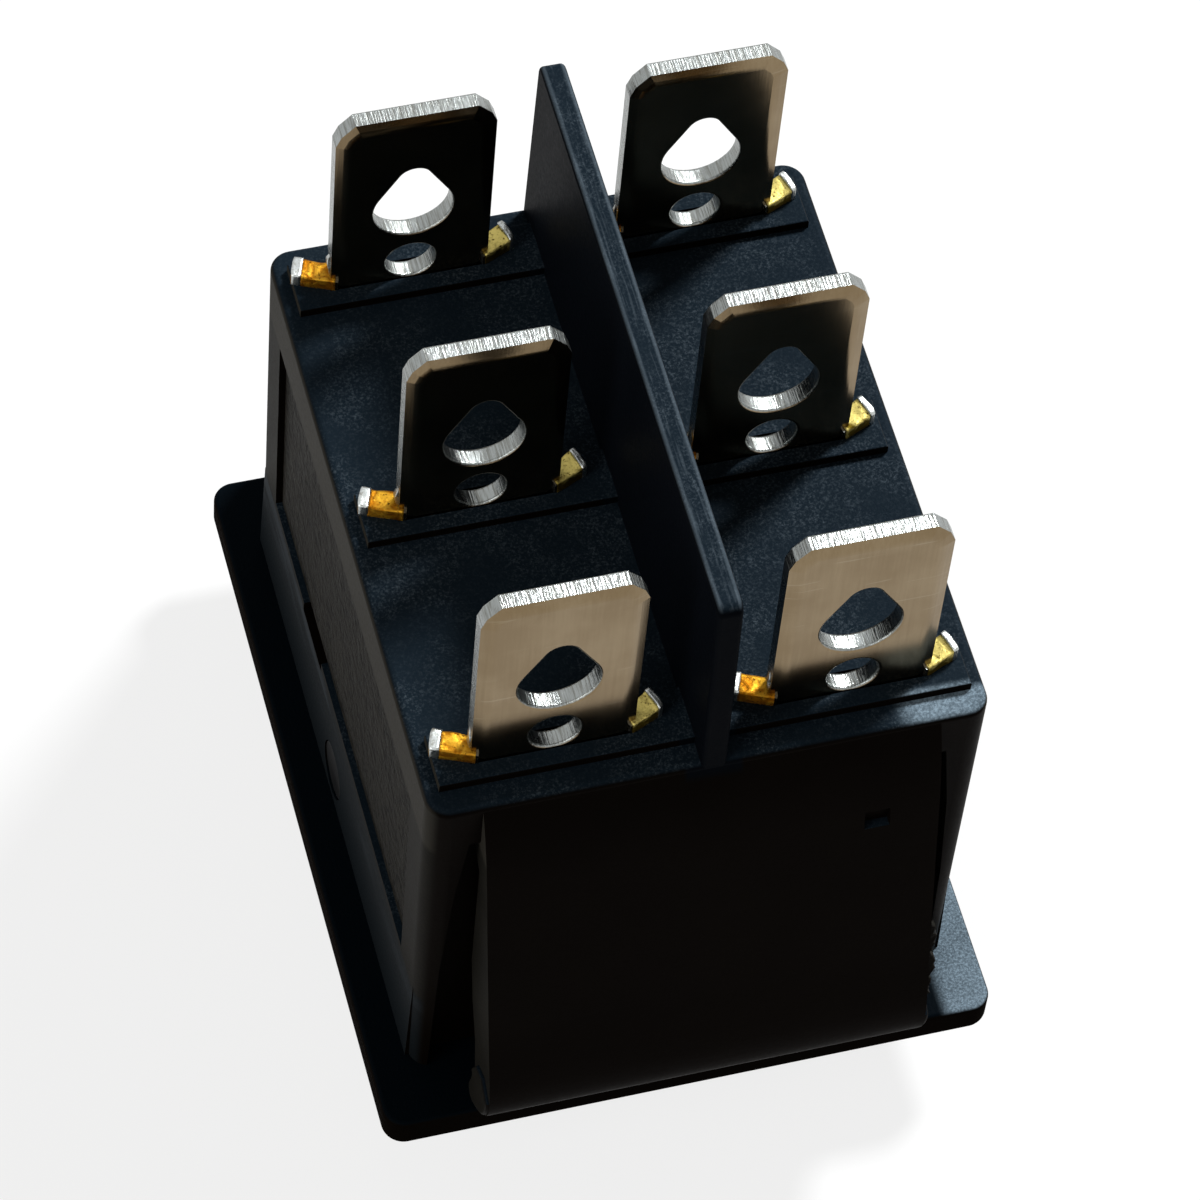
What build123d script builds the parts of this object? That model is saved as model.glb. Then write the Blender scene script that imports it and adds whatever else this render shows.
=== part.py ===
import os
from math import asin, cos, sin, sqrt

from build123d import *

os.makedirs("parts", exist_ok=True)

# Two-pole snap-in rocker switch, terminals up.  Millimetres.
# Origin: centre of the face of the bezel that seats on the panel.
# +X across the short side, +Y along the long side, +Z towards the terminals.

# housing
BODY_W = 21.8
BODY_L = 26.6
BODY_H = 19.0
BODY_CORNER = 0.9
BODY_TOP_EDGE = 0.3
BEZEL_W = 25.0
BEZEL_L = 31.4
BEZEL_T = 1.6
BEZEL_CORNER = 0.9
BEZEL_FACE_EDGE = 0.35
BEZEL_SEAT_EDGE = 0.2
CAVITY_W = 19.2
CAVITY_L = 23.7
CAVITY_CORNER = 0.5
BASE_T = 2.4
INNER_WALL_T = 1.0
INNER_WALL_FOOT_Z = 8.0
SKIRT_H = 5.2
SKIRT_OUT = 0.15
SKIRT_END_INSET = 0.7

# raised wall between the two poles
BARRIER_T = 1.0
BARRIER_H = 9.7
BARRIER_DRAFT = 0.45
BARRIER_FOOT = 0.5
BARRIER_CORNER = 0.5
BARRIER_EDGE = 0.18

# low pads under the terminals
PAD_H = 0.4
PAD_HALF_Y = 1.15
PAD_INSET = 0.6
PAD_EDGE = 0.08

# label recess in the long sides
LABEL_Y = 21.4
LABEL_Z0 = 5.3
LABEL_Z1 = 16.1
LABEL_DEPTH = 0.25
LABEL_GROOVE = 0.13
DRAIN_Y0 = 2.7
DRAIN_Y1 = 5.7
DRAIN_H = 0.35
DRAIN_DEPTH = 0.7

# snap wings in the short sides, as (reach outside the wall, height)
WING_HALF_W = 8.86
WING_ROOT_Z = 16.4
WING_FACE = [(0.0, 18.7), (0.3, 18.05), (0.62, 17.2), (1.62, 13.0), (2.48, 9.0), (3.2, 5.7), (3.66, 3.8)]
WING_NOSE = [(3.78, 2.9), (3.72, 2.1), (3.35, 1.35), (2.75, 0.7), (2.2, 0.22)]
WING_HEEL = [(1.75, 0.15), (1.45, 0.45), (1.5, 1.1), (1.6, 2.2), (1.33, 3.9), (0.6, 5.8)]
WING_BACK = [(0.1, 8.0), (0.1, 14.6)]
WING_HINGE_Z = 15.8
WING_SKIN = 1.1
WING_ROOT_T = 1.1
WING_RIM = 1.0
POCKET_Z0 = 4.2
POCKET_Z1 = 13.4
FOOT_HALF_W = 9.02
FOOT_INSET = 0.04
FOOT_TOP = [(2.9, 3.6), (2.1, 3.2)]
FOOT_END_ROUND = 0.12
TOOTH_FEET = (3.9, 4.7, 5.5, 6.3, 7.1)
TOOTH_H = 0.7
TOOTH_OUT = 0.2
TOOTH_DEPTH = 1.2
DIMPLE_X = 6.4
DIMPLE_Z = 14.75
DIMPLE_W = 1.0
DIMPLE_H = 0.9
DIMPLE_DEPTH = 0.22
WINDOW_EDGE = [(9.3, 16.6), (9.75, 12.8), (10.1, 7.5), (10.3, 0.0)]
WINDOW_DEPTH = 0.9

# terminals: 6.3 mm push-on blades in 0.8 mm strip
POLE_X = 5.75
ROW_PITCH = 11.1
STRIP_T = 0.8
BLADE_W = 6.3
BLADE_H = 9.9
BLADE_CUT_X = 0.75
BLADE_CUT_Z = 1.1
BLADE_EDGE = 0.1
ROLL_W = 0.46
ROLL_T = 0.14
ROLL_R = 1.1
EYE_D = 3.14
EYE_Z = 4.3
EYE_TIP_Z = 6.75
EYE_TIP_R = 0.65
EYE_ROLL = 0.14
PIN_HOLE_D = 2.0
PIN_HOLE_Z = 1.02
SLOT_GAP = 0.05
EAR_H = 0.5
EAR_LONG = 1.55
EAR_SHORT = 1.2
EAR_ROOT = 0.3
EAR_BEND = 22.0
LEG_W = 5.6
LEG_BEND = 0.6
LEG_PAST_CONTACT = 1.6
SHOULDER_W = 7.0
SHOULDER_H = 1.0

# rocker
PIVOT_Z = 1.5
PIVOT_D = 2.4
PIVOT_GAP = 0.05
PIVOT_END_X = 10.95
ROCKER_W = 18.7
ROCKER_HALF_L = 10.9
ROCKER_END_Z = -5.2
ROCKER_MID_Z = -3.4
ROCKER_RIM_Z = 0.6
ROCKER_EDGE = 0.5
ROCKER_WALL = 1.4
ROCKER_END_SKIN = 2.2
ROCKER_MID_SKIN = 1.5
CHEEK_HALF_L = 4.4
CHEEK_SLOPE = 1.6
CHEEK_Z = 3.6
WEB_T = 1.2
WEB_TOP_Z = 5.0
BOSS_D = 5.4
BOSS_TOP_Z = 9.0
SOCKET_D = 3.2
SOCKET_FOOT_Z = -1.9
STOP_Z = 2.55
STOP_TOP_Z = 9.0
STOP_Y0 = 9.6
STOP_Y1 = 10.6
STOP_OUT = 1.0

# contact lever: a bent strip rocking on the edge of the centre terminal
LEVER_Z = 14.2
LEVER_HALF_L = 9.8
LEVER_W = 5.6
LEVER_END_ROUND = 1.0
LEVER_WEB_W = 4.4
LEVER_NOTCH = 1.4
ARCH_BOTTOM_R = 4.406
FORK_HALF_IN = 2.35
FORK_HALF_OUT = 3.15
FORK_TIP_Z = 13.0
EDGE_GAP = 0.02

# contact rivets
CONTACT_D = 3.0
CONTACT_H = 0.58
CONTACT_RIM = 0.28
STEM_D = 1.6
STEM_SHORT = 0.05
TAIL_D = 2.3
TAIL_T = 0.25
MOVING_Y = 8.2
FIXED_Y = 8.6

# plunger and its spring
PLUNGER_D = 3.0
PLUNGER_TIP_Z = 13.32
PLUNGER_FOOT_Z = 5.0
PLUNGER_PIT_D = 1.2
PLUNGER_PIT_H = 1.0
SPRING_D = 2.7
WIRE_D = 0.4
SPRING_TURNS = 6.5
SPRING_CLEAR = 0.06

INNER_Z = BODY_H - BASE_T
PAD_TOP = BODY_H + PAD_H
BLADE_TOP = PAD_TOP + BLADE_H
ARCH_TOP_R = ARCH_BOTTOM_R + STRIP_T
HALF_STRIP = STRIP_T / 2
OVERLAP = 0.2


def block(x0, x1, y0, y1, z0, z1):
    size = (abs(x1 - x0), abs(y1 - y0), abs(z1 - z0))
    mid = ((x0 + x1) / 2, (y0 + y1) / 2, (z0 + z1) / 2)
    return Pos(*mid) * Box(*size)


def drawn_x(lines, x0, x1):
    # closed outline in the Y-Z plane, drawn out along X
    return extrude(Pos(x0, 0, 0) * make_face(lines), amount=x1 - x0, dir=(1, 0, 0))


def drawn_y(lines, y0, y1):
    # closed outline in the X-Z plane, drawn out along Y
    return extrude(Pos(0, y0, 0) * make_face(lines), amount=y1 - y0, dir=(0, 1, 0))


def yz_line(points, close=False):
    return Polyline(*[(0, y, z) for y, z in points], close=close)


def xz_line(points, close=False):
    return Polyline(*[(x, 0, z) for x, z in points], close=close)


def rod_x(diameter, x0, x1, y, z):
    return Pos((x0 + x1) / 2, y, z) * Rot(0, 90, 0) * Cylinder(diameter / 2, abs(x1 - x0))


def rod_y(diameter, y0, y1, x, z):
    return Pos(x, (y0 + y1) / 2, z) * Rot(90, 0, 0) * Cylinder(diameter / 2, abs(y1 - y0))


def rod_z(diameter, z0, z1, x, y):
    return Pos(x, y, (z0 + z1) / 2) * Cylinder(diameter / 2, abs(z1 - z0))


def reach_at(height):
    # reach of the wing's outer face at a height between two of its given points
    for (low_out, low_z), (high_out, high_z) in zip(WING_FACE[1:], WING_FACE[:-1]):
        if low_z <= height <= high_z:
            return low_out + (high_out - low_out) * (height - low_z) / (high_z - low_z)
    return WING_FACE[-1][0]


def wing_foot(y_wall):
    # rail along the free edge of the wing, a little wider than the wing
    nose = [(0, y_wall - out + FOOT_INSET, z + FOOT_INSET) for out, z in WING_NOSE]
    heel = [(0, y_wall - out, z) for out, z in WING_HEEL[:4]]
    inner = [(0, y_wall - out, z) for out, z in reversed(FOOT_TOP)]
    top = Polyline(heel[-1], *inner, nose[0])
    section = [Spline(*nose), Line(nose[-1], heel[0]), Spline(*heel), top]
    foot = drawn_x(section, -FOOT_HALF_W, FOOT_HALF_W)
    ends = foot.faces().filter_by(Axis.X)
    return fillet(ends.edges(), FOOT_END_ROUND)


def snap_wing():
    # the wing of the short side at -Y, hinged at its top edge and sprung outwards
    y_wall = -BODY_L / 2
    face = [(y_wall - out, z) for out, z in WING_FACE + WING_NOSE]
    back = [(y_wall - out, z) for out, z in WING_HEEL + WING_BACK]
    inside = y_wall + WING_ROOT_T
    hinge = [(inside, WING_HINGE_Z), (inside, WING_ROOT_Z + OVERLAP)]
    root = hinge + [(y_wall + OVERLAP, WING_ROOT_Z + OVERLAP), (y_wall + OVERLAP, WING_FACE[0][1]), face[0]]
    outer = Spline(*[(0, y, z) for y, z in face])
    rest = yz_line([face[-1]] + back + root)
    wing = drawn_x([outer, rest], -WING_HALF_W, WING_HALF_W)

    # pocket behind the skin, open at the back of the wing
    step = (POCKET_Z1 - POCKET_Z0) / 4
    heights = [POCKET_Z1 - step * n for n in range(5)]
    skin = [(y_wall - reach_at(z) + WING_SKIN, z) for z in heights]
    pocket = skin + [(inside, POCKET_Z0), (inside, POCKET_Z1)]
    half = WING_HALF_W - WING_RIM
    wing -= drawn_x(yz_line(pocket, close=True), -half, half)
    wing += wing_foot(y_wall)

    # small square dimple, and the grip teeth down one edge
    half_w = DIMPLE_W / 2
    half_h = DIMPLE_H / 2
    dimple_y = y_wall - reach_at(DIMPLE_Z)
    wing -= block(
        DIMPLE_X - half_w,
        DIMPLE_X + half_w,
        dimple_y - 1,
        dimple_y + DIMPLE_DEPTH,
        DIMPLE_Z - half_h,
        DIMPLE_Z + half_h,
    )
    root_x = WING_HALF_W - 0.1
    for z in TOOTH_FEET:
        tooth = [(root_x, z), (WING_HALF_W + TOOTH_OUT, z + 0.1), (root_x, z + TOOTH_H)]
        edge_y = y_wall - reach_at(z + TOOTH_H) + 0.1
        wing += drawn_y(xz_line(tooth, close=True), edge_y, edge_y + TOOTH_DEPTH)
    return wing


def bezel():
    plate = block(-BEZEL_W / 2, BEZEL_W / 2, -BEZEL_L / 2, BEZEL_L / 2, -BEZEL_T, 0)
    plate = fillet(plate.edges().filter_by(Axis.Z), BEZEL_CORNER)
    plate = fillet(plate.faces().sort_by(Axis.Z)[0].edges(), BEZEL_FACE_EDGE)
    return fillet(plate.faces().sort_by(Axis.Z)[-1].edges(), BEZEL_SEAT_EDGE)


def barrier():
    end = BODY_L / 2
    outline = [
        (-end, BODY_H - BARRIER_FOOT),
        (-end, BODY_H),
        (-end + BARRIER_DRAFT, BODY_H + BARRIER_H),
        (end - BARRIER_DRAFT, BODY_H + BARRIER_H),
        (end, BODY_H),
        (end, BODY_H - BARRIER_FOOT),
    ]
    wall = drawn_x(yz_line(outline, close=True), -BARRIER_T / 2, BARRIER_T / 2)
    corners = wall.edges().filter_by(Axis.X).filter_by(lambda e: e.center().Z > BODY_H + 1)
    wall = fillet(corners, BARRIER_CORNER)
    return fillet(wall.edges().filter_by(lambda e: e.center().Z > BODY_H + 1), BARRIER_EDGE)


def housing_shell():
    # four walls, the base plate at the top and the bezel at the foot
    body = block(-BODY_W / 2, BODY_W / 2, -BODY_L / 2, BODY_L / 2, 0, BODY_H)
    body = fillet(body.edges().filter_by(Axis.Z), BODY_CORNER)
    body = fillet(body.faces().sort_by(Axis.Z)[-1].edges(), BODY_TOP_EDGE)
    for side in (-1, 1):
        face_x = side * BODY_W / 2
        inner_x = face_x - side * OVERLAP
        wedge = [
            (inner_x, SKIRT_H),
            (face_x, SKIRT_H),
            (face_x + side * SKIRT_OUT, -OVERLAP),
            (inner_x, -OVERLAP),
        ]
        end = BODY_L / 2 - SKIRT_END_INSET
        body += drawn_y(xz_line(wedge, close=True), -end, end)
    body += bezel()
    cavity = block(-CAVITY_W / 2, CAVITY_W / 2, -CAVITY_L / 2, CAVITY_L / 2, -BEZEL_T - 1, INNER_Z)
    body -= fillet(cavity.edges().filter_by(Axis.Z), CAVITY_CORNER)
    return body


def label_recess(side):
    # shallow rectangle with a fine groove round its floor
    floor_x = side * (BODY_W / 2 - LABEL_DEPTH)
    groove_x = floor_x - side * LABEL_GROOVE
    outside_x = side * (BODY_W / 2 + 1)
    half_y = LABEL_Y / 2
    inner_y = half_y - LABEL_GROOVE
    cut = block(groove_x, outside_x, -half_y, half_y, LABEL_Z0, LABEL_Z1)
    island = block(
        groove_x - side,
        floor_x,
        -inner_y,
        inner_y,
        LABEL_Z0 + LABEL_GROOVE,
        LABEL_Z1 - LABEL_GROOVE,
    )
    return cut - island


def housing():
    body = housing_shell()
    half_t = INNER_WALL_T / 2
    reach = CAVITY_L / 2 + OVERLAP
    body += block(-half_t, half_t, -reach, reach, INNER_WALL_FOOT_Z, INNER_Z + OVERLAP)

    # ribs in the corners that stop the rocker
    wall_x = CAVITY_W / 2
    for sx in (-1, 1):
        for sy in (-1, 1):
            x0 = sx * (wall_x - STOP_OUT)
            x1 = sx * (wall_x + OVERLAP)
            body += block(x0, x1, sy * STOP_Y0, sy * STOP_Y1, STOP_Z, STOP_TOP_Z)

    window = WINDOW_EDGE + [(-x, z) for x, z in reversed(WINDOW_EDGE)]
    for turn in (0, 180):
        cut = drawn_y(xz_line(window, close=True), -BODY_L / 2 - 1, -BODY_L / 2 + WINDOW_DEPTH)
        body -= Rot(0, 0, turn) * cut
        body += Rot(0, 0, turn) * snap_wing()
    body += barrier()

    half_w = BLADE_W / 2 + SLOT_GAP
    half_s = HALF_STRIP + SLOT_GAP
    for side in (-1, 1):
        for row in (-1, 0, 1):
            x = side * POLE_X
            y = row * ROW_PITCH
            pad = block(
                side * (BARRIER_T / 2 - 0.1),
                side * (BODY_W / 2 - PAD_INSET),
                y - PAD_HALF_Y,
                y + PAD_HALF_Y,
                BODY_H - OVERLAP,
                PAD_TOP,
            )
            body += fillet(pad.faces().sort_by(Axis.Z)[-1].edges(), PAD_EDGE)
            body -= block(x - half_w, x + half_w, y - half_s, y + half_s, INNER_Z - 1, PAD_TOP + 1)

    body -= rod_x(PIVOT_D + 2 * PIVOT_GAP, -BODY_W, BODY_W, 0, PIVOT_Z)
    for side in (-1, 1):
        body -= label_recess(side)

        # short narrow slot in the ledge under the recess
        outside_x = side * (BODY_W / 2 + 1)
        slot_x = side * (BODY_W / 2 - DRAIN_DEPTH)
        body -= block(slot_x, outside_x, DRAIN_Y0, DRAIN_Y1, SKIRT_H - DRAIN_H, SKIRT_H + 0.1)
    return body


def strip_outline():
    # blade and shank seen from -Y, centred on x = 0
    half = BLADE_W / 2
    cut_x = 0.28 * BLADE_CUT_X
    cut_z = BLADE_TOP - 0.52 * BLADE_CUT_Z
    return [
        (-half, INNER_Z),
        (-half, BLADE_TOP - BLADE_CUT_Z),
        (-half + cut_x, cut_z),
        (-half + BLADE_CUT_X, BLADE_TOP),
        (half - BLADE_CUT_X, BLADE_TOP),
        (half - cut_x, cut_z),
        (half, BLADE_TOP - BLADE_CUT_Z),
        (half, INNER_Z),
    ]


def eye_outline():
    # a circle drawn up to a small round tip by two straight flanks that touch both
    eye_z = PAD_TOP + EYE_Z
    eye_r = EYE_D / 2
    tip_z = PAD_TOP + EYE_TIP_Z - EYE_TIP_R
    lean = asin((eye_r - EYE_TIP_R) / (tip_z - eye_z))
    low_x = eye_r * cos(lean)
    low_z = eye_z + eye_r * sin(lean)
    high_x = EYE_TIP_R * cos(lean)
    high_z = tip_z + EYE_TIP_R * sin(lean)
    return [
        ThreePointArc((low_x, 0, low_z), (0, 0, eye_z - eye_r), (-low_x, 0, low_z)),
        Line((-low_x, 0, low_z), (-high_x, 0, high_z)),
        ThreePointArc((-high_x, 0, high_z), (0, 0, tip_z + EYE_TIP_R), (high_x, 0, high_z)),
        Line((high_x, 0, high_z), (low_x, 0, low_z)),
    ]


def on_strip_face(edge):
    return abs(abs(edge.center().Y) - HALF_STRIP) < 0.001


def above_base(edge):
    return edge.center().Z > INNER_Z + 0.1


def blade():
    # blade and shank, wiring eye, lower round hole and the two bent ears
    plate = drawn_y(xz_line(strip_outline(), close=True), -HALF_STRIP, HALF_STRIP)
    die_side = plate.faces().sort_by(Axis.Y)[-1]
    plate = fillet(die_side.edges().filter_by(above_base), BLADE_EDGE)

    # the other face, at -Y, is drawn down along the whole rim
    rolled_side = plate.faces().sort_by(Axis.Y)[0]
    rim = rolled_side.edges().filter_by(above_base)
    plate = chamfer(rim, ROLL_W, ROLL_T, reference=rolled_side)
    flat = plate.faces().sort_by(Axis.Y)[0]
    plate = fillet(flat.edges().filter_by(above_base), ROLL_R)
    plate -= drawn_y(eye_outline(), -1, 1)
    plate -= rod_y(PIN_HOLE_D, -1, 1, 0, PAD_TOP + PIN_HOLE_Z)
    highest = PAD_TOP + EYE_TIP_Z + 0.1
    rim = plate.edges().filter_by(
        lambda e: on_strip_face(e) and abs(e.center().X) < EYE_D / 2 and PAD_TOP < e.center().Z < highest
    )
    plate = fillet(rim, EYE_ROLL)
    for side, reach in ((-1, EAR_LONG), (1, EAR_SHORT)):
        ear = block(-EAR_ROOT, reach, -HALF_STRIP, HALF_STRIP, PAD_TOP, PAD_TOP + EAR_H)
        ear = Pos(BLADE_W / 2 - 0.1, 0, 0) * Rot(0, 0, EAR_BEND) * ear
        if side < 0:
            ear = mirror(ear, about=Plane.YZ)
        plate += ear
    return plate


def outer_terminal(inward):
    # blade, and a foot under the base turned towards the middle (inward is -1 or 1 along Y)
    contact_y = inward * (ROW_PITCH - FIXED_Y)
    tip_y = contact_y + inward * LEG_PAST_CONTACT
    heel_y = -inward * HALF_STRIP
    foot = block(-LEG_W / 2, LEG_W / 2, heel_y, tip_y, INNER_Z - STRIP_T, INNER_Z)
    heel = foot.edges().filter_by(Axis.X)
    heel = heel.filter_by(lambda e: e.center().Z < INNER_Z - 0.1 and e.center().Y * inward < 0)
    strip = blade() + fillet(heel, LEG_BEND)
    strip -= rod_z(STEM_D, INNER_Z - 2, INNER_Z + 0.01, 0, contact_y)
    return strip


def centre_terminal():
    # blade, shoulders under the base, and a fork that carries the lever
    shoulder_z = INNER_Z - SHOULDER_H
    edge_z = LEVER_Z + EDGE_GAP + HALF_STRIP
    strip = blade()
    strip += block(-SHOULDER_W / 2, SHOULDER_W / 2, -HALF_STRIP, HALF_STRIP, shoulder_z, INNER_Z)
    strip += block(-FORK_HALF_OUT, FORK_HALF_OUT, -HALF_STRIP, HALF_STRIP, edge_z, shoulder_z)
    strip += rod_x(STRIP_T, -FORK_HALF_OUT, FORK_HALF_OUT, 0, edge_z)
    for side in (-1, 1):
        strip += block(
            side * FORK_HALF_IN, side * FORK_HALF_OUT, -HALF_STRIP, HALF_STRIP, FORK_TIP_Z, shoulder_z
        )
    return strip


def dome(s):
    # domed crown of a contact rivet, upwards (s = 1) or downwards (s = -1)
    r = CONTACT_D / 2
    rise = CONTACT_H - CONTACT_RIM
    dome_r = (r * r + rise * rise) / (2 * rise)
    mid_z = CONTACT_H - dome_r + sqrt(dome_r * dome_r - r * r / 4)
    return ThreePointArc((r, 0, s * CONTACT_RIM), (r / 2, 0, s * mid_z), (0, 0, s * CONTACT_H))


def fixed_contact():
    # dome down, stem up through the foot of an outer terminal
    r = CONTACT_D / 2
    stem_r = STEM_D / 2
    stem = STRIP_T - STEM_SHORT
    line = xz_line([(0, -CONTACT_H), (0, stem), (stem_r, stem), (stem_r, 0), (r, 0), (r, -CONTACT_RIM)])
    return revolve(make_face([line, dome(-1)]), Axis.Z, 360)


def moving_contact():
    # dome up, stem down through the lever, its tail upset below
    r = CONTACT_D / 2
    stem_r = STEM_D / 2
    tail_r = TAIL_D / 2
    low = -STRIP_T - TAIL_T
    line = xz_line(
        [
            (0, CONTACT_H),
            (0, low),
            (tail_r, low),
            (tail_r, -STRIP_T),
            (stem_r, -STRIP_T),
            (stem_r, 0),
            (r, 0),
            (r, CONTACT_RIM),
        ]
    )
    return revolve(make_face([line, dome(1)]), Axis.Z, 360)


def contact_lever():
    # bent strip: flat arms either side of an arch whose crest touches the fork edge
    arch_z = LEVER_Z - ARCH_TOP_R
    z_top = LEVER_Z - STRIP_T
    z_low = z_top - STRIP_T
    y_low = sqrt(ARCH_BOTTOM_R**2 - (z_low - arch_z) ** 2)
    y_top = sqrt(ARCH_TOP_R**2 - (z_top - arch_z) ** 2)
    end = LEVER_HALF_L
    outline = [
        yz_line([(-end, z_low), (-y_low, z_low)]),
        ThreePointArc((0, -y_low, z_low), (0, 0, LEVER_Z - STRIP_T), (0, y_low, z_low)),
        yz_line([(y_low, z_low), (end, z_low), (end, z_top), (y_top, z_top)]),
        ThreePointArc((0, y_top, z_top), (0, 0, LEVER_Z), (0, -y_top, z_top)),
        yz_line([(-y_top, z_top), (-end, z_top), (-end, z_low)]),
    ]
    strip = drawn_x(outline, -LEVER_W / 2, LEVER_W / 2)
    strip = fillet(strip.edges().filter_by(Axis.Z), LEVER_END_ROUND)
    notch_y = LEVER_NOTCH / 2
    for side in (-1, 1):
        web_x = side * LEVER_WEB_W / 2
        strip -= block(web_x, side * LEVER_W, -notch_y, notch_y, z_low - 1, LEVER_Z + 1)
        strip -= rod_z(STEM_D, z_low - 1, LEVER_Z + 1, 0, side * MOVING_Y)
    return strip


def rocker_shell():
    # button with a dished face, hollow behind, and two raised cheeks for the pivot
    end = ROCKER_HALF_L
    slope_y = CHEEK_HALF_L + CHEEK_SLOPE
    back = [
        (-end, ROCKER_END_Z),
        (-end, ROCKER_RIM_Z),
        (-slope_y, ROCKER_RIM_Z),
        (-CHEEK_HALF_L, CHEEK_Z),
        (CHEEK_HALF_L, CHEEK_Z),
        (slope_y, ROCKER_RIM_Z),
        (end, ROCKER_RIM_Z),
        (end, ROCKER_END_Z),
    ]
    face = ThreePointArc((0, end, ROCKER_END_Z), (0, 0, ROCKER_MID_Z), (0, -end, ROCKER_END_Z))
    shell = drawn_x([yz_line(back), face], -ROCKER_W / 2, ROCKER_W / 2)
    shell = fillet(shell.edges().filter_by(lambda e: e.center().Z < ROCKER_RIM_Z - 1), ROCKER_EDGE)

    inner = end - ROCKER_WALL
    floor_end = ROCKER_END_Z + ROCKER_END_SKIN
    floor_mid = ROCKER_MID_Z + ROCKER_MID_SKIN
    above = CHEEK_Z + 1
    hollow = [
        yz_line([(-inner, floor_end), (-inner, above), (inner, above), (inner, floor_end)]),
        ThreePointArc((0, inner, floor_end), (0, 0, floor_mid), (0, -inner, floor_end)),
    ]
    half = ROCKER_W / 2 - ROCKER_WALL
    return shell - drawn_x(hollow, -half, half)


def rocker():
    shell = rocker_shell()
    floor_mid = ROCKER_MID_Z + ROCKER_MID_SKIN
    pin_root = ROCKER_W / 2 - OVERLAP
    for side in (-1, 1):
        shell += rod_z(BOSS_D, SOCKET_FOOT_Z - OVERLAP, BOSS_TOP_Z, side * POLE_X, 0)
        shell += rod_x(PIVOT_D, side * pin_root, side * PIVOT_END_X, 0, PIVOT_Z)
    shell += block(-POLE_X, POLE_X, -WEB_T / 2, WEB_T / 2, floor_mid - OVERLAP, WEB_TOP_Z)
    for side in (-1, 1):
        shell -= rod_z(SOCKET_D, SOCKET_FOOT_Z, BOSS_TOP_Z + 1, side * POLE_X, 0)
    return shell


def plunger():
    # round-nosed pin with a small pit in its foot
    r = PLUNGER_D / 2
    pit_r = PLUNGER_PIT_D / 2
    pit_z = PLUNGER_FOOT_Z + PLUNGER_PIT_H
    neck = PLUNGER_TIP_Z - r
    nose_r = r * sqrt(0.5)
    foot = [(pit_r, pit_z), (pit_r, PLUNGER_FOOT_Z), (r, PLUNGER_FOOT_Z)]
    line = xz_line([(0, PLUNGER_TIP_Z), (0, pit_z)] + foot + [(r, neck)])
    nose = ThreePointArc((r, 0, neck), (nose_r, 0, neck + nose_r), (0, 0, PLUNGER_TIP_Z))
    return revolve(make_face([line, nose]), Axis.Z, 360)


def plunger_spring():
    # coil between the floor of the rocker's socket and the plunger's foot
    room = PLUNGER_FOOT_Z - SOCKET_FOOT_Z
    height = room - WIRE_D - 2 * SPRING_CLEAR
    path = Helix(pitch=height / SPRING_TURNS, height=height, radius=(SPRING_D - WIRE_D) / 2)
    section = Plane(origin=path @ 0, z_dir=path % 0) * Circle(WIRE_D / 2)
    return Pos(0, 0, SOCKET_FOOT_Z + WIRE_D / 2 + SPRING_CLEAR) * sweep(section, path=path)


pieces = {"housing": housing(), "rocker": rocker()}
for pole, x in (("left", -POLE_X), ("right", POLE_X)):
    pieces[f"terminal_{pole}_centre"] = Pos(x, 0, 0) * centre_terminal()
    pieces[f"contact_lever_{pole}"] = Pos(x, 0, 0) * contact_lever()
    pieces[f"plunger_{pole}"] = Pos(x, 0, 0) * plunger()
    pieces[f"plunger_spring_{pole}"] = Pos(x, 0, 0) * plunger_spring()
    for end, side in (("rear", 1), ("front", -1)):
        pieces[f"terminal_{pole}_{end}"] = Pos(x, side * ROW_PITCH, 0) * outer_terminal(-side)
        fixed_at = Pos(x, side * FIXED_Y, INNER_Z - STRIP_T)
        pieces[f"fixed_contact_{pole}_{end}"] = fixed_at * fixed_contact()
        moving_at = Pos(x, side * MOVING_Y, LEVER_Z - STRIP_T)
        pieces[f"moving_contact_{pole}_{end}"] = moving_at * moving_contact()

for name, shape in pieces.items():
    solids = shape.solids()
    solid = solids[0] if len(solids) == 1 else Compound(children=list(solids))
    solid.label = name
    export_step(solid, f"parts/{name}.step")
    box = solid.bounding_box()
    low = tuple(round(v, 2) for v in box.min)
    high = tuple(round(v, 2) for v in box.max)
    print(f"{name:30s} solids {len(solids)} volume {solid.volume:9.2f} box {low} {high}")
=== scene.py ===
from math import cos, pi, radians, sin

import bmesh
import bpy
from mathutils import Matrix, Vector, noise
from mathutils.bvhtree import BVHTree


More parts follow.
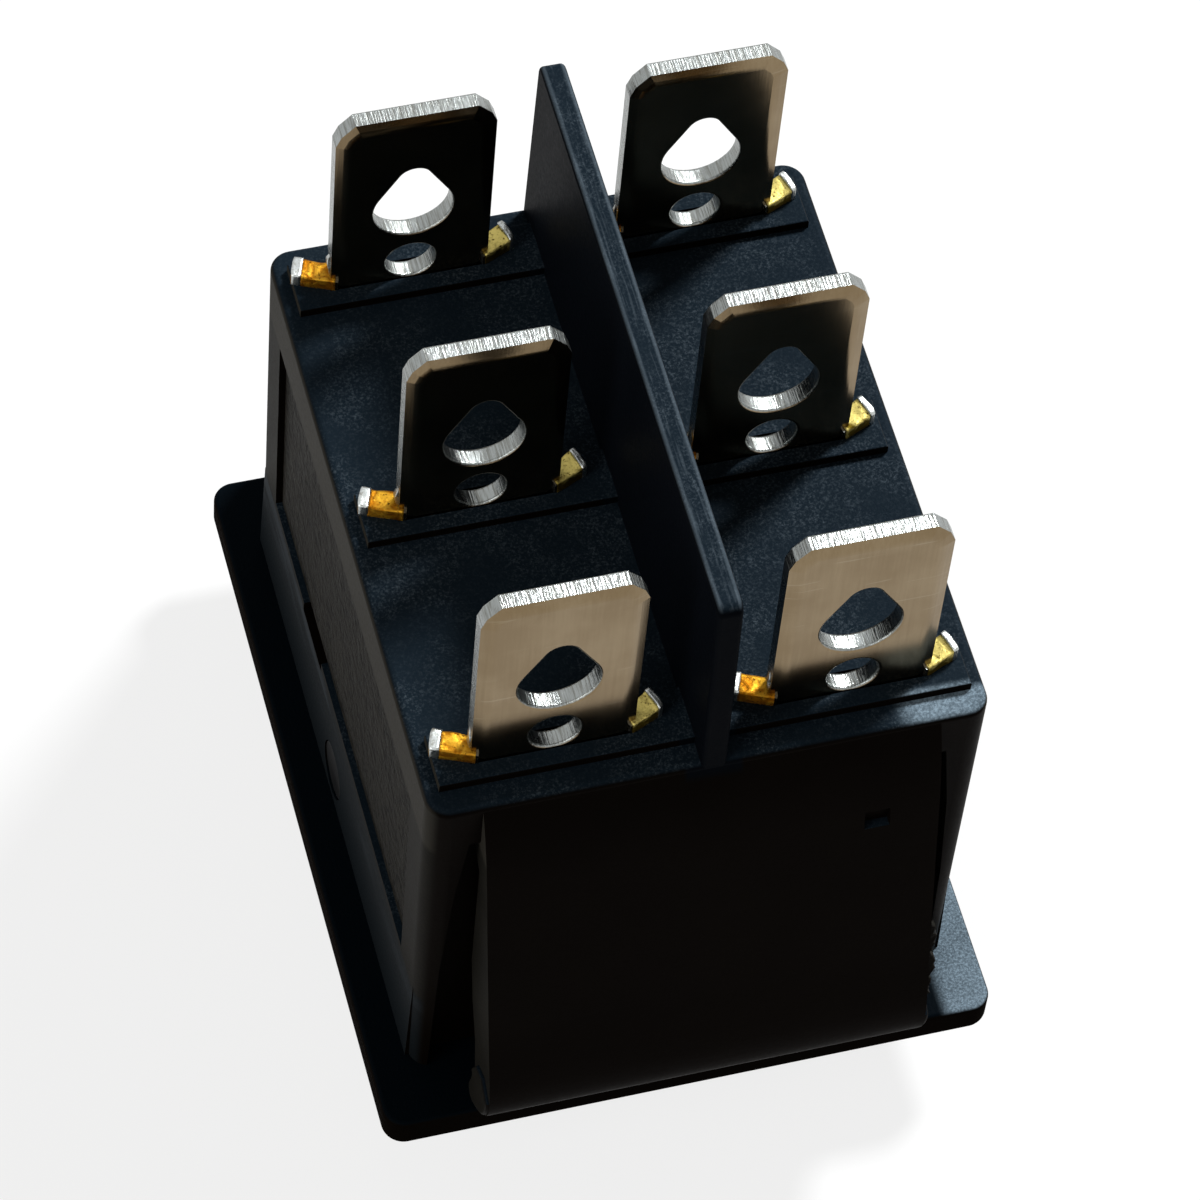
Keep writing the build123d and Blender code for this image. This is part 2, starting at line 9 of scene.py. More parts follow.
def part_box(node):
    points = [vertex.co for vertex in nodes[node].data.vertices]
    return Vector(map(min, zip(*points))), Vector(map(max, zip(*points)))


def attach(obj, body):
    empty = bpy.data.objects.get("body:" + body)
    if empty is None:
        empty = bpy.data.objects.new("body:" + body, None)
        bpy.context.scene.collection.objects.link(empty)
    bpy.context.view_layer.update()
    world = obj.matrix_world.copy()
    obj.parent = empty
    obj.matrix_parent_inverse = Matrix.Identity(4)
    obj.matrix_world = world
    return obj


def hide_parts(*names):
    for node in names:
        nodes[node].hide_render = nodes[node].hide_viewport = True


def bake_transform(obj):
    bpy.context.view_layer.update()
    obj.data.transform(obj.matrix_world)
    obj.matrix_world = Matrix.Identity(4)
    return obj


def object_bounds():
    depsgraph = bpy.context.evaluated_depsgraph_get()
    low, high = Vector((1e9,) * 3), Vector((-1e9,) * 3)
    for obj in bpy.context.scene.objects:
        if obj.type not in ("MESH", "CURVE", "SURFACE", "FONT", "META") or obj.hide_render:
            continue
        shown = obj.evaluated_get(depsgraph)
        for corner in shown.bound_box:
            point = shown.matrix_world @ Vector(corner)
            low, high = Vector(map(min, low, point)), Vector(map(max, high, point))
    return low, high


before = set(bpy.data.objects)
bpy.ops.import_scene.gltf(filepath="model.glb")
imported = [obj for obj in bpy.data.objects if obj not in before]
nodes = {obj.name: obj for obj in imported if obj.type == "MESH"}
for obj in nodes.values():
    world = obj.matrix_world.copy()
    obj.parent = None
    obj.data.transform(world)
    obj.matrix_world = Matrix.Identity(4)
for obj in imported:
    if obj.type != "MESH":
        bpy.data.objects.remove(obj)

MM = 0.001
cad_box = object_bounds()

# Camera, fitted to the photograph.  Angles in degrees, place in millimetres.
CAMERA_PLACE = (-44.7234, -120.9879, 204.2177)
CAMERA_AZIMUTH = -20.1439
CAMERA_ELEVATION = 56.3701
CAMERA_ROLL = 6.2885
CAMERA_LENS = 176.666
CAMERA_SENSOR = 36.0
CAMERA_CLIP = (0.01, 20.0)

# Colours, linear.  Housing and rocker.
# Near black; its faint warm tint is a painted reflection of warm surroundings.
PLASTIC = (0.0022, 0.0013, 0.0008)
PLASTIC_WORN = (0.0050, 0.0036, 0.0026)
PLASTIC_COOL = (0.0022, 0.0030, 0.0046)
# Faces that look up: tinted blue, a painted reflection of the sky.
PLASTIC_TOP_SKY_REFLECTION = (0.0080, 0.0145, 0.0215)
# Pale specks of the grain on faces that look up: painted glints.
PLASTIC_SPECK_GLINT = (0.080, 0.104, 0.125)
# The bezel's seat, darker than the top faces: painted shade.
PLASTIC_SEAT_SHADE = (0.0016, 0.0034, 0.0052)
# Pale and grainy: painted key light on one corner of the top and one side of the bezel's seat.
PLASTIC_KEY_LIT = (0.30, 0.40, 0.48)
# Foot of the long sides: blue as a painted sky reflection, with pale streaks of painted sheen.
PLASTIC_LEDGE_SKY = (0.0086, 0.0108, 0.0126)
PLASTIC_LEDGE_HIGHLIGHT = (0.028, 0.034, 0.040)
# Long sides: paler than the ends, partly for their matt grain and partly as painted light from the side.
PLASTIC_SIDE = (0.0056, 0.0052, 0.0044)
PLASTIC_SIDE_PALE_AND_LIT = (0.033, 0.0305, 0.025)
ROCKER_BLACK = (0.007, 0.007, 0.0075)
ROCKER_GREY = (0.013, 0.013, 0.0135)

# Blades and the torn ears.
# Rolled faces of the blades: nickel, dark tan as a painted reflection of warm surroundings.
NICKEL_TAN_REFLECTION = (0.198, 0.142, 0.078)
NICKEL_TAN_REFLECTION_PALE = (0.25, 0.188, 0.112)
NICKEL_SCRATCH = (0.42, 0.37, 0.28)
EDGE_METAL = (0.31, 0.33, 0.325)
EDGE_DULL = (0.18, 0.185, 0.17)
BRASS_GOLD = (0.50, 0.27, 0.022)
BRASS_ORANGE = (0.26, 0.095, 0.004)
BRASS_BROWN = (0.05, 0.025, 0.003)
# Right-hand ears: cream top as a painted highlight, olive below as painted shade.
BRASS_CREAM_HIGHLIGHT = (0.58, 0.48, 0.15)
BRASS_OLIVE_SHADE = (0.085, 0.058, 0.005)
CAP_DULL = (0.32, 0.32, 0.29)
CAP_PALE = (0.56, 0.59, 0.58)

# Pieces inside.
LEVER_BRASS = (0.66, 0.45, 0.20)
LEVER_PALE = (0.82, 0.60, 0.30)
LEVER_TARNISH = (0.45, 0.26, 0.10)
SILVER = (0.83, 0.81, 0.77)
SILVER_BLOOM = (0.60, 0.58, 0.54)
NYLON = (0.70, 0.67, 0.58)
NYLON_PALE = (0.80, 0.78, 0.72)
WIRE_GREY = (0.42, 0.43, 0.45)
WIRE_PALE = (0.62, 0.63, 0.65)

# The six blades.  Millimetres; the columns and the heights come from the frame.
POLES = {"left": -1, "right": 1}
ROWS = {"rear": 1, "centre": 0, "front": -1}
ROW_PITCH = 11.1
BLADE_W = 6.3
BLADE_H = 9.9
lever_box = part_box("contact_lever_right")
pole_x = (lever_box[0][0] + lever_box[1][0]) / 2 / MM
blade_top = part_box("terminal_left_centre")[1][2] / MM
pad_top = blade_top - BLADE_H
housing_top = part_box("housing")[1][2] / MM

# Where the housing's finish changes.  Each pair is a ramp in millimetres, from none of it to all.
SIDE_X = (8.2, 8.6)
SIDE_Z = (-0.05, 0.05)
RECESS_Y = (10.75, 10.6)
RECESS_FOOT_Z = (5.25, 5.4)
RECESS_HEAD_Z = (16.15, 16.0)
SHOULDER_Z = (15.9, 16.4)
LEDGE_Y = (13.3, 13.0)
LEDGE_Z = (5.2, 4.8)
# Painted sheen along the ledge, stronger towards the rear.
LEDGE_SHEEN_Y = (-8.0, 0.0)
LEDGE_SHEEN_Z = (2.6, 4.2)
DRAIN_X = (10.0, 10.1)
DRAIN_FRONT_Y = (2.5, 2.8)
DRAIN_REAR_Y = (6.0, 5.6)
DRAIN_FOOT_Z = (4.7, 4.85)
DRAIN_HEAD_Z = (5.32, 5.24)
BARRIER_X = (1.2, 1.0)
BARRIER_Z = (pad_top - 1.2, pad_top - 0.8)
# The barrier's crest: painted highlight lines along its edges, with streaks of painted sheen.
CREST_X = (1.0, 0.8)
CREST_HIGHLIGHT_X = (0.26, 0.36)
CREST_Z = (housing_top - 0.4, housing_top - 0.2)
SEAT_Z = (1.2, 0.6)
# Where painted key light lies, on the seat and on the top's corner.
SEAT_LIT_X = (10.2, 10.9)
CORNER_LIT_X = (7.0, 8.2)
CORNER_LIT_Y = (-11.9, -12.3)
CORNER_LIT_Z = (18.0, 18.5)
BEZEL_RIM_Z = (-0.05, -0.2)

# Vertices nearer than this, in metres, are one.
SAME_POINT = 1e-7

# Where the blades' strip becomes bare brass: past the blade's edge, and below the ears' tops.
BARE_ALONG = (3.2, 3.26)
BARE_Z = (pad_top + 0.66, pad_top + 0.6)

# From foot to top of the torn ears, over which their tone changes from painted shade to painted light.
EAR_SHADE_Z = (pad_top + 0.12, pad_top + 0.68)

# Gloss of the two mouldings; the housing's skin is matt.
HOUSING_SPECULAR = 0.009
ROCKER_SPECULAR = 0.35


class Finish:
    """A node material with one Principled shader, worked in millimetres of the object's own space."""

    def __init__(self, name):
        self.material = bpy.data.materials.new(name)
        self.material.use_nodes = True
        self.tree = self.material.node_tree
        self.tree.nodes.clear()
        output = self.tree.nodes.new("ShaderNodeOutputMaterial")
        self.shader = self.tree.nodes.new("ShaderNodeBsdfPrincipled")
        self.tree.links.new(self.shader.outputs["BSDF"], output.inputs["Surface"])
        self.coordinates = self.tree.nodes.new("ShaderNodeTexCoord")

    def give(self, socket, value):
        """Links a node's output to a socket, or sets the socket to a plain value."""
        if isinstance(value, bpy.types.NodeSocket):
            self.tree.links.new(value, socket)
        else:
            socket.default_value = value

    def place(self, scale=(1, 1, 1)):
        """Position on the object in millimetres, each axis times its scale."""
        node = self.tree.nodes.new("ShaderNodeVectorMath")
        node.operation = "MULTIPLY"
        self.give(node.inputs[0], self.coordinates.outputs["Object"])
        node.inputs[1].default_value = [s / MM for s in scale]
        return node.outputs[0]

    def noise(self, scale, detail=2.0, rough=0.5, stretch=(1, 1, 1), distortion=0.0):
        node = self.tree.nodes.new("ShaderNodeTexNoise")
        self.give(node.inputs["Vector"], self.place(stretch))
        node.inputs["Scale"].default_value = scale
        node.inputs["Detail"].default_value = detail
        node.inputs["Roughness"].default_value = rough
        node.inputs["Distortion"].default_value = distortion
        return node.outputs["Fac"]

    def cells(self, scale):
        node = self.tree.nodes.new("ShaderNodeTexVoronoi")
        self.give(node.inputs["Vector"], self.place())
        node.inputs["Scale"].default_value = scale
        return node.outputs["Distance"]

    def math(self, operation, a, b=0.0, c=0.0):
        node = self.tree.nodes.new("ShaderNodeMath")
        node.operation = operation
        self.give(node.inputs[0], a)
        self.give(node.inputs[1], b)
        self.give(node.inputs[2], c)
        return node.outputs[0]

    def times(self, first, *others):
        """Product of masks or numbers."""
        product = first
        for other in others:
            product = self.math("MULTIPLY", product, other)
        return product

    def plus(self, base, value, share):
        """The base with a share of the value added."""
        return self.math("MULTIPLY_ADD", value, share, base)

    def remap(self, value, low, high, to_low=0.0, to_high=1.0):
        """Smooth ramp from to_low, where the value is low, to to_high, where it is high."""
        node = self.tree.nodes.new("ShaderNodeMapRange")
        node.interpolation_type = "SMOOTHSTEP"
        self.give(node.inputs["Value"], value)
        node.inputs["From Min"].default_value = low
        node.inputs["From Max"].default_value = high
        node.inputs["To Min"].default_value = to_low
        node.inputs["To Max"].default_value = to_high
        return node.outputs["Result"]

    def blend(self, share, a, b):
        """Colour a, going over to b as the share goes from 0 to 1; the node clamps the share."""
        node = self.tree.nodes.new("ShaderNodeMix")
        node.data_type = "RGBA"
        self.give(node.inputs["Factor"], share)
        for socket, colour in ((node.inputs[6], a), (node.inputs[7], b)):
            self.give(socket, colour if isinstance(colour, bpy.types.NodeSocket) else (*colour, 1))
        return node.outputs[2]

    def bump(self, height, depth_mm, strength, under=None):
        """Normal of a relief depth_mm deep, laid over the normal under."""
        node = self.tree.nodes.new("ShaderNodeBump")
        self.give(node.inputs["Height"], height)
        node.inputs["Distance"].default_value = depth_mm * MM
        self.give(node.inputs["Strength"], strength)
        if under is not None:
            self.give(node.inputs["Normal"], under)
        return node.outputs["Normal"]

    def split(self, vector):
        node = self.tree.nodes.new("ShaderNodeSeparateXYZ")
        self.give(node.inputs[0], vector)
        return node.outputs

    def finish(self, colour, roughness, normal, metallic=0.0, specular=0.5):
        self.give(self.shader.inputs["Base Color"], colour)
        self.give(self.shader.inputs["Roughness"], roughness)
        self.give(self.shader.inputs["Normal"], normal)
        self.shader.inputs["Metallic"].default_value = metallic
        self.shader.inputs["Specular IOR Level"].default_value = specular
        return self.material


class HousingFinish(Finish):
    """Moulded black plastic: smooth dark ends, matt long sides, grained top faces with fine painted
    glints; its colour also paints sky reflection, sheen, key light and shade.
    """

    def __init__(self):
        super().__init__("black_plastic_moulded")
        self.x, self.y, self.z = self.split(self.place())
        self.across = self.math("ABSOLUTE", self.x)
        self.along = self.math("ABSOLUTE", self.y)
        turn_x, _, turn_z = self.split(self.coordinates.outputs["Normal"])
        self.upward = self.remap(turn_z, 0.45, 0.92)
        self.sideways = self.times(
            self.remap(self.math("ABSOLUTE", turn_x), 0.5, 0.9),
            self.remap(self.across, *SIDE_X),
            self.remap(self.z, *SIDE_Z),
        )
        self.recess = self.times(
            self.sideways,
            self.remap(self.along, *RECESS_Y),
            self.remap(self.z, *RECESS_FOOT_Z),
            self.remap(self.z, *RECESS_HEAD_Z),
        )
        self.grain = self.noise(7.0, detail=3.0, rough=0.62)
        self.glint = self.noise(9.5, detail=3.0, rough=0.75)
        self.patches = self.noise(0.35, detail=3.0, rough=0.55)
        self.coarse = self.noise(1.9, detail=3.0, rough=0.62, distortion=0.6)

    def ends(self):
        """Short sides and barrier: nearly black, the short sides warmed by a faint painted reflection,
        with worn patches and a few small dots.
        """
        dots = self.times(
            self.remap(self.cells(1.1), 0.055, 0.03),
            self.remap(self.noise(0.5), 0.55, 0.62),
        )
        tone = self.plus(self.times(dots, 2.0), self.patches, 0.7)
        barrier = self.times(self.remap(self.across, *BARRIER_X), self.remap(self.z, *BARRIER_Z))
        return self.blend(barrier, self.blend(tone, PLASTIC, PLASTIC_WORN), PLASTIC_COOL)

    def sides(self):
        """Long sides: matt and grained, paler than the ends partly for that grain and partly as painted
        side light, with pits in the label recess and a paler shoulder above it.
        """
        pits = self.remap(self.coarse, 0.45, 0.40)
        tone = self.plus(-0.4, self.grain, 0.8)
        tone = self.plus(tone, self.patches, 0.45)
        tone = self.plus(tone, self.recess, 0.16)
        tone = self.plus(tone, self.remap(self.z, *SHOULDER_Z), 0.8)
        tone = self.plus(tone, self.times(self.recess, pits), -0.9)
        return self.blend(tone, PLASTIC_SIDE, PLASTIC_SIDE_PALE_AND_LIT)

    def ledge(self, colour):
        """Smooth foot of the long sides, tinted blue as a painted sky reflection, with soft streaks of
        painted sheen along it, stronger towards the rear.
        """
        sheen_streaks = self.noise(1.0, stretch=(0.5, 0.16, 1.1))
        tone = self.times(
            self.remap(sheen_streaks, 0.48, 0.62),
            self.remap(self.y, *LEDGE_SHEEN_Y, 0.3, 1.0),
            self.remap(self.z, *LEDGE_SHEEN_Z),
        )
        foot = self.times(self.remap(self.z, *LEDGE_Z), self.remap(self.along, *LEDGE_Y))
        return self.blend(foot, colour, self.blend(tone, PLASTIC_LEDGE_SKY, PLASTIC_LEDGE_HIGHLIGHT))

    def sky_lit_tops(self):
        """Faces that look up: grain tinted blue as a painted sky reflection, with painted glints, and
        painted highlight lines along the barrier's top.
        """
        # Painted glints, thicker in some patches.
        tone = self.times(
            self.remap(self.glint, 0.44, 0.82),
            self.remap(self.patches, 0.38, 0.62, 0.18, 0.85),
        )
        # Painted highlight lines and sheen streaks along the barrier's crest.
        crest = self.times(self.remap(self.z, *CREST_Z), self.remap(self.across, *CREST_X))
        crest_sheen = self.remap(self.noise(1.0, rough=0.6, stretch=(9.0, 0.5, 9.0)), 0.5, 0.7)
        tone = self.plus(tone, self.times(crest_sheen, crest), 0.3)
        tone = self.plus(tone, self.times(self.remap(self.across, *CREST_HIGHLIGHT_X), crest), 0.55)
        return self.blend(tone, PLASTIC_TOP_SKY_REFLECTION, PLASTIC_SPECK_GLINT)

    def key_lit_patches(self, colour):
        """Painted pools of key light, pale and grainy, on one corner of the top and on one side of the
        bezel's smooth seat; the rest of the seat is painted in shade.
        """
        lit_grain = self.plus(self.times(self.patches, 0.6), self.remap(self.glint, 0.35, 0.75), 0.6)
        corner = self.times(
            lit_grain,
            self.remap(self.x, *CORNER_LIT_X),
            self.remap(self.y, *CORNER_LIT_Y),
            self.remap(self.z, *CORNER_LIT_Z),
        )
        colour = self.blend(corner, colour, PLASTIC_KEY_LIT)
        lit_seat = self.times(lit_grain, self.remap(self.x, *SEAT_LIT_X))
        seat_colour = self.blend(lit_seat, PLASTIC_SEAT_SHADE, PLASTIC_KEY_LIT)
        return self.blend(self.remap(self.z, *SEAT_Z), colour, seat_colour)

    def drain_slot(self, colour):
        """Slot under each label recess, always in shadow."""
        slot = self.times(
            self.remap(self.across, *DRAIN_X),
            self.remap(self.y, *DRAIN_FRONT_Y),
            self.remap(self.y, *DRAIN_REAR_Y),
            self.remap(self.z, *DRAIN_FOOT_Z),
            self.remap(self.z, *DRAIN_HEAD_Z),
        )
        return self.blend(slot, colour, PLASTIC)

    def build(self):
        upright = self.blend(self.sideways, self.ends(), self.ledge(self.sides()))
        # Faces that look up take the painted sky reflection and glints.
        colour = self.blend(self.upward, upright, self.key_lit_patches(self.sky_lit_tops()))
        roughness = self.plus(0.36, self.grain, 0.25)
        roughness = self.plus(roughness, self.remap(self.z, *BEZEL_RIM_Z), 0.45)
        normal = self.bump(self.grain, 0.03, self.plus(0.2, self.upward, 0.45))
        normal = self.bump(self.coarse, 0.2, self.recess, normal)
        return self.finish(self.drain_slot(colour), roughness, normal, specular=HOUSING_SPECULAR)


def rocker_plastic():
    """Satin button, finer in grain than the housing, with faint handling marks."""
    f = Finish("rocker_plastic_satin")
    grain = f.noise(11.0)
    marks = f.noise(0.6, detail=4.0, rough=0.6, stretch=(1, 0.25, 1), distortion=0.6)
    colour = f.blend(f.remap(marks, 0.35, 0.75), ROCKER_BLACK, ROCKER_GREY)
    roughness = f.remap(marks, 0.3, 0.7, 0.30, 0.42)
    return f.finish(colour, roughness, f.bump(grain, 0.012, 0.5), specular=ROCKER_SPECULAR)


def plated_strip():
    """Nickel on the rolled faces, dark tan there as a painted reflection of warm surroundings, pale edges
    with shear lines across the thickness, bare ears.
    """
    f = Finish("plated_strip")
    face = f.remap(f.math("ABSOLUTE", f.split(f.coordinates.outputs["Normal"])[1]), 0.62, 0.9)
    edge = f.math("SUBTRACT", 1.0, face)

    cloud = f.noise(0.45, detail=3.0)
    rolled = f.noise(1.0, detail=3.0, rough=0.6, stretch=(9.0, 9.0, 0.35))
    tone = f.plus(f.times(cloud, 0.6), rolled, 0.25)
    rolled_colour = f.blend(f.remap(tone, 0.3, 0.6), NICKEL_TAN_REFLECTION, NICKEL_TAN_REFLECTION_PALE)
    lines = f.noise(1.0, detail=1.0, rough=0.4, stretch=(0.35, 1.0, 7.0), distortion=0.3)
    rolled_colour = f.blend(f.times(f.remap(lines, 0.70, 0.76), 0.2), rolled_colour, NICKEL_SCRATCH)
    shear = f.noise(1.0, detail=3.0, rough=0.6, stretch=(11.0, 0.8, 11.0))
    edge_colour = f.blend(f.remap(shear, 0.3, 0.64), EDGE_DULL, EDGE_METAL)
    colour = f.blend(face, edge_colour, rolled_colour)

    x, _, z = f.split(f.place())
    along = f.math("ABSOLUTE", f.math("SUBTRACT", f.math("ABSOLUTE", x), pole_x))
    bare = f.times(f.remap(along, *BARE_ALONG), f.remap(z, *BARE_Z))
    colour = f.blend(bare, colour, f.blend(f.remap(cloud, 0.35, 0.65), BRASS_ORANGE, BRASS_GOLD))

    roughness = f.plus(0.13, cloud, 0.08)
    roughness = f.plus(roughness, edge, 0.1)
    roughness = f.plus(roughness, bare, 0.3)
    normal = f.bump(shear, 0.045, f.times(edge, 0.8))
    normal = f.bump(rolled, 0.003, f.times(face, 0.4), normal)
    return f.finish(colour, roughness, normal, metallic=1.0)


def sheared_brass(name, light, deep, lit_top_share):
    """Bare brass of an ear in light and deep patches, with painted shade at its foot and painted light at
    its top; the last argument is how light its top is, from 0 to 1.
    """
    f = Finish(name)
    facets = f.noise(2.1, distortion=0.6)
    fine = f.noise(9.0, detail=3.0, rough=0.6)
    height = f.remap(f.split(f.place())[2], *EAR_SHADE_Z, 1 - lit_top_share, lit_top_share)
    tone = f.plus(height, f.math("SUBTRACT", facets, 0.5), 2.6)
    warm = f.blend(f.remap(tone, 0.2, 0.95), deep, light)
    colour = f.blend(f.remap(fine, 0.28, 0.44), BRASS_BROWN, warm)
    normal = f.bump(fine, 0.02, 0.5, f.bump(facets, 0.12, 0.5))
    return f.finish(colour, f.remap(fine, 0.3, 0.7, 0.62, 0.48), normal, metallic=1.0)


def ear_nickel():
    """The strip's plated edge, carried out on the end of each ear."""
    f = Finish("ear_nickel")
    fine = f.noise(7.0, detail=3.0, rough=0.6)
    colour = f.blend(f.remap(fine, 0.3, 0.55), CAP_DULL, CAP_PALE)
    return f.finish(colour, f.remap(fine, 0.3, 0.7, 0.36, 0.26), f.bump(fine, 0.03, 0.5), metallic=1.0)


def rolled_brass():
    """Contact lever: rolled strip with fine lines along its length and a light tarnish."""
    f = Finish("rolled_brass")
    lines = f.noise(1.0, detail=3.0, rough=0.6, stretch=(14.0, 0.4, 14.0))
    tarnish = f.noise(0.7, detail=3.0, rough=0.6)
    bright = f.blend(f.remap(lines, 0.3, 0.7), LEVER_BRASS, LEVER_PALE)
    colour = f.blend(f.remap(tarnish, 0.5, 0.75), bright, LEVER_TARNISH)
    return f.finish(colour, f.remap(tarnish, 0.3, 0.8, 0.24, 0.45), f.bump(lines, 0.01, 0.5), metallic=1.0)


def contact_silver():
    """Coined contact faces with a dull bloom."""
    f = Finish("contact_silver")
    bloom = f.noise(1.6, detail=3.0, rough=0.55)
    fine = f.noise(14.0)
    colour = f.blend(f.remap(bloom, 0.4, 0.7), SILVER, SILVER_BLOOM)
    return f.finish(colour, f.remap(bloom, 0.3, 0.7, 0.22, 0.42), f.bump(fine, 0.01, 0.6), metallic=1.0)


def natural_nylon():
    """Plungers: natural moulding, off-white and slightly uneven."""
    f = Finish("natural_nylon")
    fine = f.noise(9.0)
    colour = f.blend(f.noise(0.8, detail=3.0), NYLON, NYLON_PALE)
    return f.finish(colour, f.remap(fine, 0.3, 0.7, 0.38, 0.5), f.bump(fine, 0.01, 0.4))


def spring_steel():
    """Drawn wire with die lines."""
    f = Finish("spring_wire")
    lines = f.noise(6.0, detail=3.0, rough=0.6, stretch=(1, 1, 3.0))
    colour = f.blend(f.remap(lines, 0.3, 0.7), WIRE_GREY, WIRE_PALE)
    return f.finish(colour, f.remap(lines, 0.3, 0.7, 0.2, 0.34), f.bump(lines, 0.01, 0.5), metallic=1.0)


def solid_piece(name, verts, faces, material, body):
    """A smooth closed piece from vertices in metres, riding on a body unless that is None."""
    mesh = bpy.data.meshes.new(name)
    mesh.from_pydata([tuple(v) for v in verts], [], faces)
    mesh.materials.append(material)
    piece = bpy.data.objects.new(name, mesh)
    bpy.context.scene.collection.objects.link(piece)
    work = bmesh.new()
    work.from_mesh(mesh)
    bmesh.ops.remove_doubles(work, verts=work.verts, dist=SAME_POINT)
    bmesh.ops.recalc_face_normals(work, faces=work.faces)
    work.to_mesh(mesh)
    work.free()
    for polygon in mesh.polygons:
        polygon.use_smooth = True
    if body is not None:
        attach(piece, body)
    return piece


def grid_shell(counts, point):
    """Vertices and faces of a closed box of counts = (u, v, w) cells, each placed by point(u, v, w)."""
    nu, nv, nw = counts
    index = {}
    verts = []
    faces = []

    def at(i, j, k):
        if (i, j, k) not in index:
            index[(i, j, k)] = len(verts)
            verts.append(point(i / nu, j / nv, k / nw))
        return index[(i, j, k)]

    for j in range(nv):
        for k in range(nw):
            for i in (0, nu):
                faces.append((at(i, j, k), at(i, j + 1, k), at(i, j + 1, k + 1), at(i, j, k + 1)))
    for i in range(nu):
        for k in range(nw):
            for j in (0, nv):
                faces.append((at(i, j, k), at(i + 1, j, k), at(i + 1, j, k + 1), at(i, j, k + 1)))
    for i in range(nu):
        for j in range(nv):
            for k in (0, nw):
                faces.append((at(i, j, k), at(i + 1, j, k), at(i + 1, j + 1, k), at(i, j + 1, k)))
    return verts, faces


# Ears: sheared out of the blade's edges, bent back and curled up a little.  Millimetres.
# By side of the blade: length, how much of it is plated cap, and how far the end lifts.
EAR_BEND = radians(22.0)
EAR_DEPTH = 0.86
EAR_HEIGHT = 0.57
EAR_ROOT_IN = 0.2
EAR_LENGTH = {-1: 1.58, 1: 1.23}
EAR_CAP = {-1: 0.4, 1: 0.24}
EAR_LIFT = {-1: 0.06, 1: 0.26}
EAR_FRONT_LIFT = 0.35
EAR_INSET = 0.1
EAR_HOLLOW = 0.02
EAR_CELLS = (16, 10, 7)
CAP_LAP = 0.02
CAP_PROUD = 0.06
CAP_DROP = 0.03
CAP_CORNER = 0.06
CAP_CELLS = (4, 10, 8)
TEAR_SCALE = 1.8
TEAR_DEPTH = 0.045
TEAR_FINER = 3.1
TEAR_FINE_DEPTH = 0.012
FIRST_SEED = 1.7
SEED_STEP = 2.37


def ear_frame(origin, side):
    """Maps (along, back, up) of an ear, in millimetres, into the row frame in metres."""

    def place(along, back, up):
        x = along * cos(EAR_BEND) - back * sin(EAR_BEND)
        y = along * sin(EAR_BEND) + back * cos(EAR_BEND)
        return Vector((origin.x + side * x * MM, origin.y + y * MM, origin.z + up * MM))

    return place


def ear(name, origin, side, seed, brass, nickel):
    """One torn ear of a blade: its brass body, and the plated cap on its end."""
    place = ear_frame(origin, side)
    length = EAR_LENGTH[side]
    cap = EAR_CAP[side]
    body_end = length - cap

    def torn(along, back, up):
        spot = Vector((along, back, up)) * TEAR_SCALE + Vector((seed, 0, 3.1 * seed))
        return noise.noise(spot) * TEAR_DEPTH + noise.noise(spot * TEAR_FINER) * TEAR_FINE_DEPTH

    def lift(v):
        return EAR_LIFT[side] * (EAR_FRONT_LIFT + (1 - EAR_FRONT_LIFT) * v)

    def body_point(u, v, w):
        along = -EAR_ROOT_IN + u * (body_end + EAR_ROOT_IN)
        back = (v - 0.5) * EAR_DEPTH
        curl = lift(v) * max(0.0, along / length) ** 1.5
        hollow = EAR_HOLLOW * sin(pi * max(0.0, min(1.0, along / body_end))) * w
        rough = torn(along, back, w * EAR_HEIGHT)
        up = w * EAR_HEIGHT + curl * (0.3 + 0.7 * w) - hollow + rough * (0.2 + 0.9 * w)
        back += rough * 0.7 * (1 if v > 0.5 else -1) * abs(2 * v - 1)
        return place(along, back, up)

    def cap_point(u, v, w):
        along = body_end - CAP_LAP + u * (cap + CAP_LAP)
        back = (v - 0.5) * (EAR_DEPTH + CAP_LAP)
        if u > 0.5:
            along -= CAP_CORNER * (2 * abs(v - 0.5)) ** 3
        rough = torn(along + 5, back, w * EAR_HEIGHT)
        up = w * (EAR_HEIGHT + CAP_PROUD) + lift(v) * w - CAP_DROP
        return place(along + 0.5 * rough, back, up + rough * w)

    verts, faces = grid_shell(EAR_CELLS, body_point)
    solid_piece(name, verts, faces, brass, "housing")
    verts, faces = grid_shell(CAP_CELLS, cap_point)
    solid_piece(name + "_cap", verts, faces, nickel, "housing")


# Burrs: slivers left along a blade's edge above its left-hand ear.  Millimetres.
BURR_Z0 = 0.5
BURR_Z1 = 1.75
BURR_START = 0.06
BURR_OUT = 0.13
BURR_THICK = 0.26
BURR_WOBBLE = 0.08
BURR_LEAN = 0.12
BURR_CELLS = (3, 3, 14)


def burr(name, origin, side, seed, nickel):
    """A sliver that tapers upward and leans back, wobbling by its seed."""

    def point(u, v, w):
        taper = sin(pi * min(1.0, 0.12 + 0.88 * w)) * 0.8 + 0.2
        wobble = BURR_WOBBLE * noise.noise(Vector((seed, 3.0 * w, 0.4)))
        x = side * (BURR_START + (BURR_OUT + wobble) * u * taper)
        y = (v - 0.5) * BURR_THICK * taper + wobble + BURR_LEAN * w
        z = BURR_Z0 + (BURR_Z1 - BURR_Z0) * w
        return Vector((origin.x + x * MM, origin.y + y * MM, origin.z + z * MM))

    verts, faces = grid_shell(BURR_CELLS, point)
    solid_piece(name, verts, faces, nickel, "housing")


